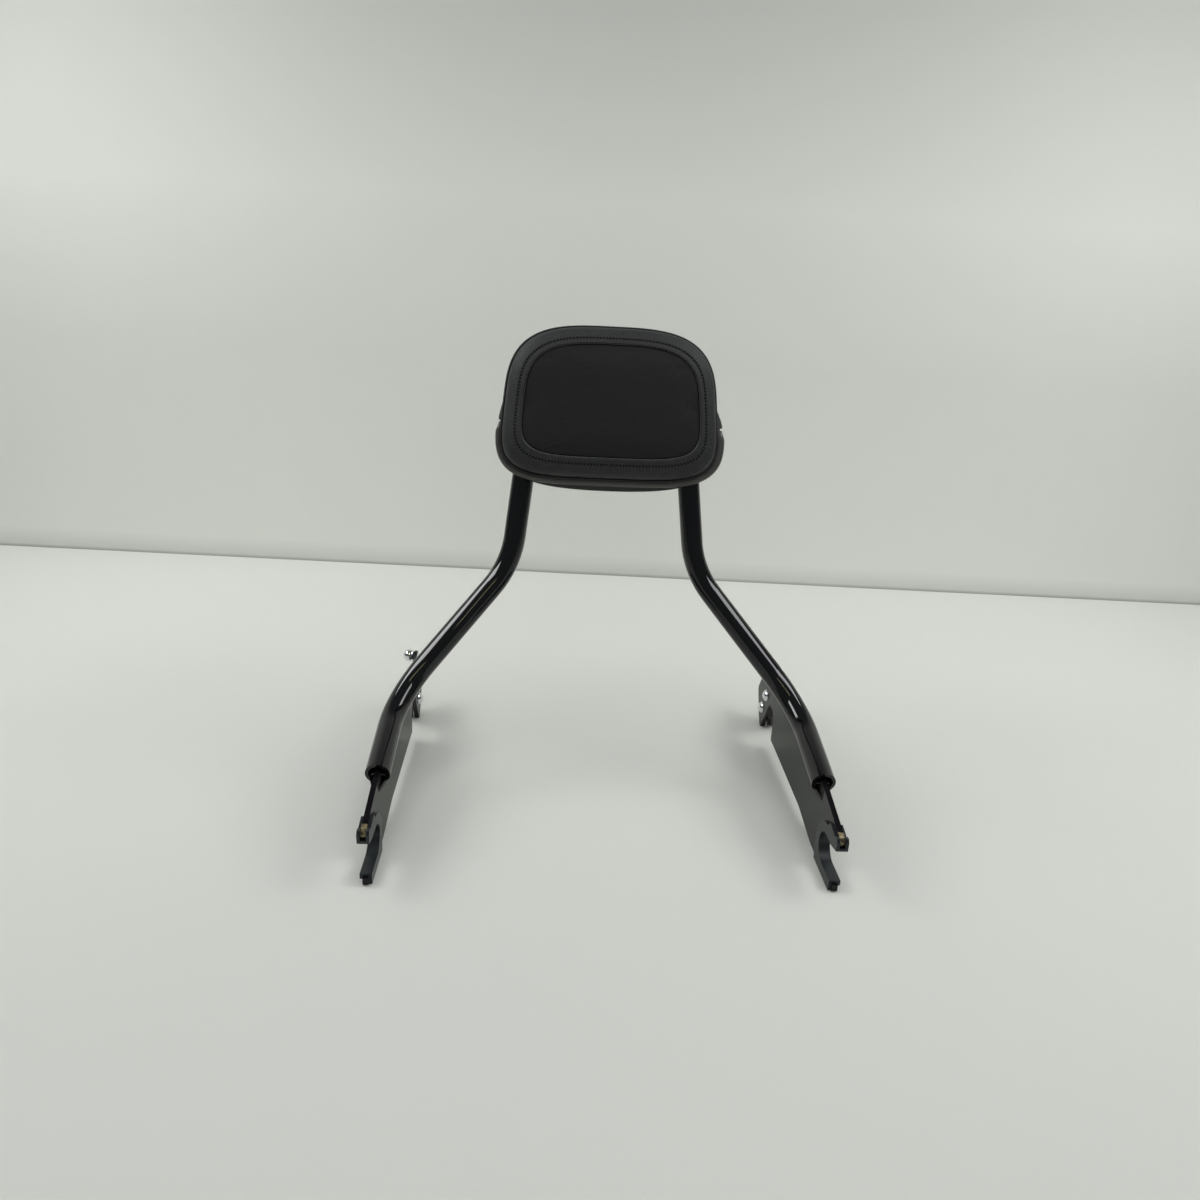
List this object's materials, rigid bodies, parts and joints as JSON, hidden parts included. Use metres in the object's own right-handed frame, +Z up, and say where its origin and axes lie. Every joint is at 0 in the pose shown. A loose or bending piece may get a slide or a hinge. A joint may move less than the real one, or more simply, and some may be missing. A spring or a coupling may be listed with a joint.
{
  "type": "sissy bar",
  "caption": "Quick-detach passenger backrest: padded rest on a bent round tube with slotted side plates, forward hooks with liners and swinging rear latch levers.",
  "frame": {"origin": "the middle of the bounding box in plan, on the table the hooks and the plates' rear feet stand on", "axes": "+X to the viewer's right in the picture (across the bike), -Y towards the bike's front and the hook mouths, +Z up"},
  "size_m": [0.3794, 0.2952, 0.3802],
  "materials": {
    "black_paint": "gloss",
    "chrome": "polished",
    "steel": "satin",
    "liner_rubber": "matte",
    "board_plastic": "matte",
    "foam": "matte",
    "vinyl": "grained, low sheen",
    "panel_fabric": "fine ribbed, matte",
    "cover_plastic": "satin"
  },
  "bodies": {
    "frame": {"upright_tube": "black_paint", "side_plate_left": "black_paint", "side_plate_right": "black_paint", "hook_liner_left": "liner_rubber", "hook_liner_right": "liner_rubber", "latch_block_left": "black_paint", "latch_block_right": "black_paint", "pivot_pin_left": "chrome", "pivot_pin_right": "chrome", "block_screw_left": "chrome", "block_screw_right": "chrome", "friction_washer_left": "steel", "friction_washer_right": "steel", "pivot_nut_left": "steel", "pivot_nut_right": "steel", "pad_strap": "black_paint", "pad_screws": "steel", "pad_washers": "steel", "pad_board": "board_plastic", "pad_foam": "foam", "pad_border_cover": "vinyl", "pad_centre_panel": "panel_fabric", "pad_welt": "vinyl", "pad_back_cover": "cover_plastic"},
    "latch_left": {"latch_lever_left": "black_paint", "ball_knob_left": "chrome"},
    "latch_right": {"latch_lever_right": "black_paint", "ball_knob_right": "chrome"}
  },
  "joints": [
    {"name": "latch_left_hinge", "type": "hinge", "parent": "frame", "child": "latch_left", "pos_m": [-0.1785, 0.10012, 0.0385], "axis": [1, 0, 0], "range_deg": [-30, 0]},
    {"name": "latch_right_hinge", "type": "hinge", "parent": "frame", "child": "latch_right", "pos_m": [0.1785, 0.10012, 0.0385], "axis": [1, 0, 0], "range_deg": [-30, 0]}
  ]
}
